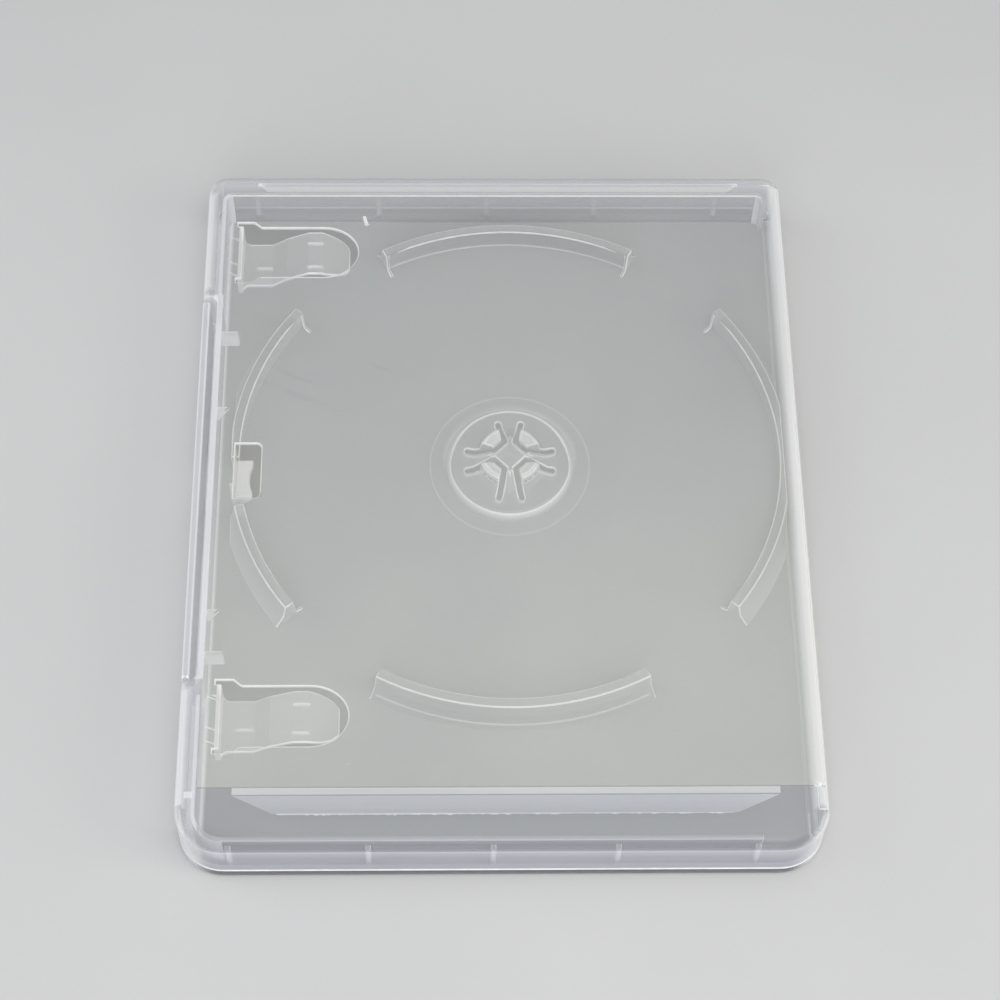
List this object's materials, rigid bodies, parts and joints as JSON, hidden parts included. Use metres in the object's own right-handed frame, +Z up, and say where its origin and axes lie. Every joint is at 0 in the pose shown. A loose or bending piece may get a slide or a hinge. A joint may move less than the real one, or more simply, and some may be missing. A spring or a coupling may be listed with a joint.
{
  "type": "disc case",
  "caption": "Clear plastic disc case with a living-hinge spine, sprung disc hub, booklet clips and a clear film sleeve, closed and empty.",
  "frame": {"origin": "centre of the underside of the closed case, on the surface it lies on", "axes": "+X towards the spine, -X towards the opening edge, -Y towards the header end with the large corners, +Y towards the foot end, +Z up out of the front cover"},
  "size_m": [0.136, 0.1714, 0.015],
  "materials": {
    "case_plastic": "clear, slightly milky moulded polypropylene, satin to gloss, see-through",
    "film": "thin clear polypropylene film, glossy, faintly hazed"
  },
  "bodies": {
    "back_cover": {"back_cover": "case_plastic", "film_back": "film"},
    "spine": {"spine": "case_plastic", "film_spine": "film"},
    "front_cover": {"front_cover": "case_plastic", "film_front": "film"}
  },
  "joints": [
    {"name": "spine_hinge", "type": "hinge", "parent": "back_cover", "child": "spine", "pos_m": [0.0673, 0, 0.0007], "axis": [0, 1, 0], "range_deg": [0, 90]},
    {"name": "cover_hinge", "type": "hinge", "parent": "spine", "child": "front_cover", "pos_m": [0.0673, 0, 0.0143], "axis": [0, 1, 0], "range_deg": [0, 90]}
  ]
}
